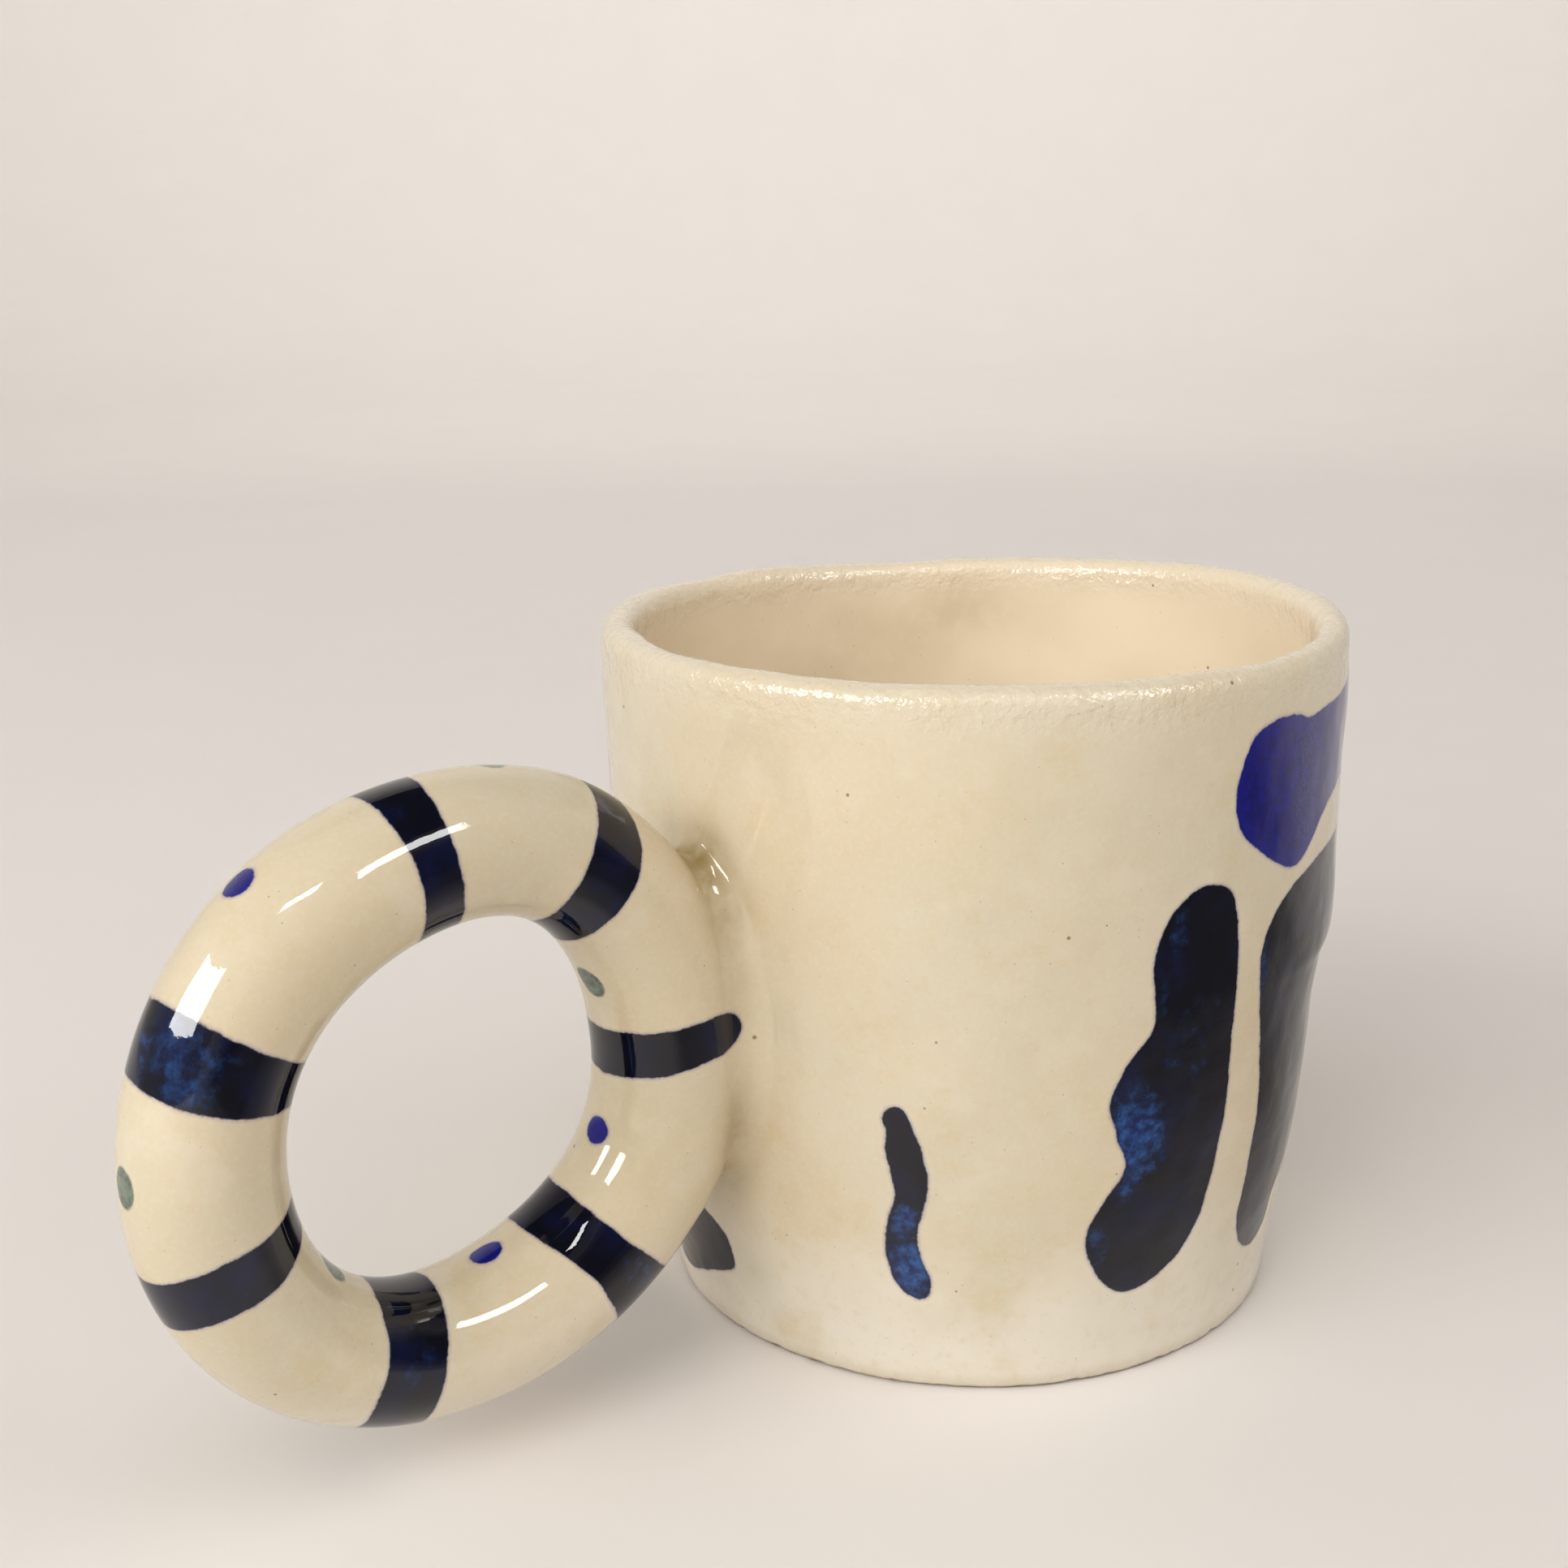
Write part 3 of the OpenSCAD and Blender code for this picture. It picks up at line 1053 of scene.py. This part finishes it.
def make_backdrop():
    """A pale floor that sweeps up all round into a wall, seamless from every side."""
    flat, curve, top = 1.6, 1.0, 3.0
    profile = [(flat * k / 12, 0.0) for k in range(1, 13)]
    for k in range(1, 17):
        angle = math.radians(90 * k / 16)
        profile.append((flat + curve * math.sin(angle), curve - curve * math.cos(angle)))
    profile.append((flat + curve, top))
    cols = 96
    points, faces = [(0.0, 0.0, 0.0)], []
    for radius, z in profile:
        for k in range(cols):
            a = 2 * math.pi * k / cols
            points.append((radius * math.cos(a), radius * math.sin(a), z))
    for k in range(cols):
        faces.append((0, 1 + k, 1 + (k + 1) % cols))
    for row in range(len(profile) - 1):
        for k in range(cols):
            a, b = 1 + row * cols + k, 1 + row * cols + (k + 1) % cols
            faces.append((a, a + cols, b + cols, b))
    backdrop = studio_mesh("backdrop", points, faces, backdrop_material())
    backdrop.data.shade_smooth()
    scene.collection.objects.link(backdrop)


def make_dark_cards():
    """Painted dark reflections of the unlit room opposite the window: only mirror-like reflections
    show these cards.

    One card stands and one lies on the table. Both fade to the paper's colour at their ends,
    so that their edges are not seen in the glaze.
    """
    away, table = 0.52, 0.002
    # Radius, height and how far the card has faded, all the way up it or across it
    standing = [(away, table, 0.0), (away, 0.30, 0.0), (away, 0.40, 0.3)]
    lying = [(0.050, table, 0.9), (0.080, table, 0.45), (0.13, table, 0.1), (away, table, 0.0)]
    steps = 40
    for name, profile in (("dark_card", standing), ("dark_table", lying)):
        points, pales, faces = [], [], []
        for k in range(steps + 1):
            azimuth = DARK_FROM + (DARK_TO - DARK_FROM) * k / steps
            ends = 1 - smooth(DARK_FROM, 236, azimuth) + smooth(302, 342, azimuth)
            for radius, height, pale in profile:
                p = direction(azimuth, 0) * radius
                points.append((p.x, p.y, height))
                pales.append(max(float(ends), pale))
        rows = len(profile)
        for k in range(steps):
            for row in range(rows - 1):
                a, b = k * rows + row, (k + 1) * rows + row
                faces.append((a, b, b + 1, a + 1))
        card = studio_mesh(name, points, faces, dark_material())
        layer = card.data.attributes.new("pale", "FLOAT", "POINT")
        layer.data.foreach_set("value", np.array(pales, np.float32))
        scene.collection.objects.link(card)
        keep_to_reflections(card)


MIDDLE = (0, 0, CUP_H / 2)


def facing(piece, azimuth, elevation, away, seen_from=MIDDLE):
    """Puts a lamp or a card at a direction from a place on the mug, turned to face it."""
    target = Vector(seen_from) * MM
    place_at = target + direction(azimuth, elevation) * away
    turned = (target - place_at).to_track_quat("-Z", "Y")
    piece.matrix_world = Matrix.LocRotScale(place_at, turned, None)
    scene.collection.objects.link(piece)


def softbox(name, azimuth, elevation, away, width, height, radiance):
    """A rectangular light that shapes the mug but leaves its reflections to the cards."""
    light = bpy.data.lights.new(name, "AREA")
    light.shape = "RECTANGLE"
    light.size = width
    light.size_y = height
    light.energy = radiance * math.pi * width * height
    light.color = LAMP_WHITE
    lamp = bpy.data.objects.new(name, light)
    lamp.visible_camera = False
    lamp.visible_glossy = False
    facing(lamp, azimuth, elevation, away)
    return lamp


def glow_material(name, radiance):
    """An evenly bright face."""
    material = bpy.data.materials.new(name)
    material.use_nodes = True
    tree = material.node_tree
    tree.nodes.clear()
    glow = tree.nodes.new("ShaderNodeEmission")
    glow.inputs["Color"].default_value = (*LAMP_WHITE, 1.0)
    glow.inputs["Strength"].default_value = radiance
    output = tree.nodes.new("ShaderNodeOutputMaterial")
    tree.links.new(glow.outputs[0], output.inputs["Surface"])
    return material


def glint_card(name, seen_from, azimuths, elevations, radiance):
    """A bright panel that only the glaze's mirror-like reflections show.

    It fills this range of directions, in degrees, as seen from a place on the mug.
    """
    away = 1.8
    w = away * math.tan(math.radians(azimuths[1] - azimuths[0]) / 2)
    h = away * math.tan(math.radians(elevations[1] - elevations[0]) / 2)
    corners = [(-w, -h, 0), (w, -h, 0), (w, h, 0), (-w, h, 0)]
    card = studio_mesh(name, corners, [(0, 1, 2, 3)], glow_material(name, radiance))
    keep_to_reflections(card)
    facing(card, sum(azimuths) / 2, sum(elevations) / 2, away, seen_from)


def backdrop_wash(name, radiance, aimed_at):
    """Lights the far backdrop from over the mug, aimed at this height on it."""
    wash = softbox(name, 0, 0, 1.0, 1.20, 1.20, radiance)
    behind = direction(50, 0)
    lamp_away, lamp_high, backdrop_away = 0.9, 1.6, 2.6
    stand = behind * lamp_away + Vector((0, 0, lamp_high))
    spot = behind * backdrop_away + Vector((0, 0, aimed_at))
    turned = (spot - stand).to_track_quat("-Z", "Y")
    wash.matrix_world = Matrix.LocRotScale(stand, turned, None)


def make_lights():
    """The lamps, the cards that show as glints in the glaze, and a faint even light."""
    softbox("window_left", 165, 30, 1.50, 1.10, 0.75, 2.7)
    softbox("window_right", 185, 30, 1.50, 1.10, 0.75, 2.05)
    softbox("front_low", 215, 30, 1.60, 1.20, 1.00, 2.1)
    softbox("front_high", 225, 62, 1.60, 1.20, 1.20, 1.42)
    softbox("right", 300, 40, 1.60, 1.20, 1.20, 1.2)
    backdrop_wash("low_wash", 2.7, 0.5)
    backdrop_wash("high_wash", 2.4, 1.5)
    ring_left, ring_top = (-105, -4, 62), (-82, -8, 73)
    glint_card("window_pane", ring_left, (156, 168.6), (17, 37), 16.0)
    glint_card("window_wide_pane", ring_left, (169, 196), (17, 37), 16.0)
    glint_card("high_strip", ring_top, (273, 299), (35, 44), 16.0)
    glint_card("ceiling_lamp", MIDDLE, (221, 237), (50, 54), 18.0)
    world = bpy.data.worlds.new("room_light")
    world.use_nodes = True
    background = world.node_tree.nodes["Background"]
    background.inputs["Color"].default_value = (*LAMP_WHITE, 1.0)
    background.inputs["Strength"].default_value = 0.02
    scene.world = world


def make_camera():
    """Stands in front of the decorated side, a little above the lip, looking down."""
    stand_azimuth, away, height = 225.0, 248.9 * MM, 130.0 * MM
    heading, pitch, roll = 50.43, -15.12, -1.0
    camera = bpy.data.objects.new("camera", bpy.data.cameras.new("camera"))
    camera.data.lens = 46.47
    camera.data.sensor_width = 36.0
    camera.data.clip_start = 0.01
    camera.data.clip_end = 20.0
    forward = direction(heading, pitch)
    right = forward.cross(Vector((0, 0, 1))).normalized()
    up = right.cross(forward)
    turn = math.radians(roll)
    across = right * math.cos(turn) + up * math.sin(turn)
    upwards = up * math.cos(turn) - right * math.sin(turn)
    axes = Matrix((across, upwards, -forward)).transposed().to_4x4()
    stand = direction(stand_azimuth, 0) * away + Vector((0, 0, height))
    camera.matrix_world = Matrix.Translation(stand) @ axes
    scene.collection.objects.link(camera)
    scene.camera = camera
    scene.view_settings.view_transform = "Standard"


make_camera()
make_lights()
make_backdrop()
make_dark_cards()

make_floor(glaze("floor_clay"))
make_wall(glaze("wall_glaze"))
make_corner(glaze("inside_glaze", painted=False))
make_ring(glaze("ring_glaze", cream=CREAM_RING, peel=0.35))
joint_glaze = glaze("joint_glaze", cream=CREAM_RING, peel=0.5)
make_luting(-1, "luting_coil_front", joint_glaze)
make_luting(1, "luting_coil_back", joint_glaze)
